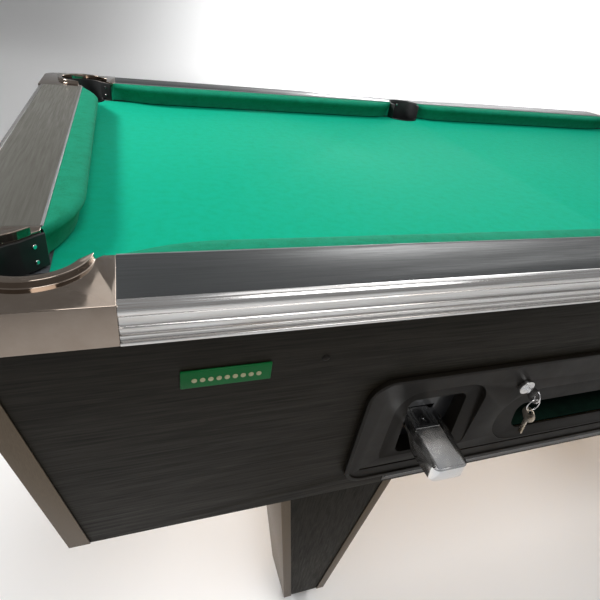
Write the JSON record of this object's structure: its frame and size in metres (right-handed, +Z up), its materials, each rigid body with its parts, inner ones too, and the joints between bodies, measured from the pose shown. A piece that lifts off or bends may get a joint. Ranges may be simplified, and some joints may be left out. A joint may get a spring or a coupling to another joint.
{
  "type": "pool table",
  "caption": "Coin-operated pub pool table: slate bed, sprung cushions, chrome corners, tapered cabinet on legs, hinged front door with ball return.",
  "frame": {"origin": "centre of the playing surface, on top of the bed cloth; the floor is at z = -0.795 m", "axes": "+X along the table's length, +Y from the front with the coin slide to the back, +Z up"},
  "size_m": [2.106, 1.2406, 0.848],
  "materials": {
    "slate": "honed",
    "bed_cloth": "napped wool",
    "cushion_cloth": "napped wool over rubber",
    "timber": "sawn",
    "rail_laminate": "embossed ash laminate",
    "cabinet_laminate": "embossed ash laminate",
    "anodised_trim": "brushed and anodised",
    "corner_chrome": "polished",
    "liner_plastic": "moulded",
    "screw_steel": "zinc plated",
    "runway_plastic": "formed",
    "silver_cladding": "satin",
    "foot_enamel": "enamelled",
    "door_plastic": "vacuum formed, satin",
    "badge_plastic": "moulded",
    "mech_steel": "zinc plated",
    "slide_chrome": "polished",
    "brass": "machined",
    "tray_lining": "felt"
  },
  "bodies": {
    "table": {"slate_bed": "slate", "bed_cloth": "bed_cloth", "slate_frame": "timber", "rail_front": "rail_laminate", "rail_back": "rail_laminate", "rail_left": "rail_laminate", "rail_right": "rail_laminate", "side_trims": "anodised_trim", "end_trims": "anodised_trim", "corner_casting_fl": "corner_chrome", "corner_casting_fr": "corner_chrome", "corner_casting_bl": "corner_chrome", "corner_casting_br": "corner_chrome", "cushion_front_left": "cushion_cloth", "cushion_front_right": "cushion_cloth", "cushion_back_left": "cushion_cloth", "cushion_back_right": "cushion_cloth", "cushion_left": "cushion_cloth", "cushion_right": "cushion_cloth", "corner_liners": "liner_plastic", "middle_liners": "liner_plastic", "liner_screws": "screw_steel", "drop_chutes": "runway_plastic", "rail_bolts": "screw_steel", "side_panel_front": "cabinet_laminate", "side_panel_back": "cabinet_laminate", "end_panel_left": "cabinet_laminate", "end_panel_right": "cabinet_laminate", "cabinet_floor": "timber", "corner_strips": "silver_cladding", "leg_fl": "cabinet_laminate", "leg_fr": "cabinet_laminate", "leg_bl": "cabinet_laminate", "leg_br": "cabinet_laminate", "leg_cladding": "silver_cladding", "hinge_cabinet_leaf": "screw_steel", "hinge_pin": "screw_steel", "badge": "badge_plastic", "ball_tray": "tray_lining", "ball_runways": "runway_plastic", "cash_box": "mech_steel"},
    "door": {"front_door": "door_plastic", "hinge_door_leaf": "screw_steel", "mech_housing": "mech_steel", "lever_pin": "screw_steel", "lever_spring": "screw_steel", "lock_barrel": "slide_chrome"},
    "coin_push": {"coin_slide": "slide_chrome"},
    "lever": {"release_lever": "brass"},
    "trap": {"trap_flap": "brass"},
    "lock": {"lock_plug": "slide_chrome", "lock_cam": "mech_steel", "key": "slide_chrome"},
    "spare_keys": {"key_ring": "slide_chrome", "spare_key": "brass"},
    "foot_fl": {"foot_fl": "foot_enamel"},
    "foot_fr": {"foot_fr": "foot_enamel"},
    "foot_bl": {"foot_bl": "foot_enamel"},
    "foot_br": {"foot_br": "foot_enamel"}
  },
  "joints": [
    {"name": "front_door_hinge", "type": "hinge", "parent": "table", "child": "door", "pos_m": [0, -0.55271, -0.34344], "axis": [1, 0, 0], "range_deg": [0, 80]},
    {"name": "coin_slide_push", "type": "slide", "parent": "door", "child": "coin_push", "axis": [0, 0.996, 0.0896], "range_m": [0, 0.055], "stiffness_N_per_m": 300, "springref_m": -0.03},
    {"name": "release_lever_swing", "type": "hinge", "parent": "door", "child": "lever", "pos_m": [-0.43, -0.4709, -0.27624], "axis": [1, 0, 0], "range_deg": [-47, 0]},
    {"name": "trap_flap_swing", "type": "hinge", "parent": "table", "child": "trap", "pos_m": [0.036, -0.4935, -0.128], "axis": [0, 1, 0], "range_deg": [-46, 0]},
    {"name": "lock_turn", "type": "hinge", "parent": "door", "child": "lock", "pos_m": [-0.31, -0.56631, -0.16434], "axis": [0, 0.996, 0.0896], "range_deg": [0, 90]},
    {"name": "spare_key_swing", "type": "hinge", "parent": "lock", "child": "spare_keys", "pos_m": [-0.31, -0.59847, -0.16954], "axis": [1, 0, 0], "range_deg": [-80, 20]},
    {"name": "foot_fl_screw", "type": "slide", "parent": "table", "child": "foot_fl", "axis": [0, 0, -1], "range_m": [0, 0.015]},
    {"name": "foot_fr_screw", "type": "slide", "parent": "table", "child": "foot_fr", "axis": [0, 0, -1], "range_m": [0, 0.015]},
    {"name": "foot_bl_screw", "type": "slide", "parent": "table", "child": "foot_bl", "axis": [0, 0, -1], "range_m": [0, 0.015]},
    {"name": "foot_br_screw", "type": "slide", "parent": "table", "child": "foot_br", "axis": [0, 0, -1], "range_m": [0, 0.015]}
  ],
  "couplings": [
    {"joint": "release_lever_swing", "follows": "coin_slide_push", "rad_per_m": -14.758},
    {"joint": "trap_flap_swing", "follows": "coin_slide_push", "rad_per_m": -14.28}
  ]
}
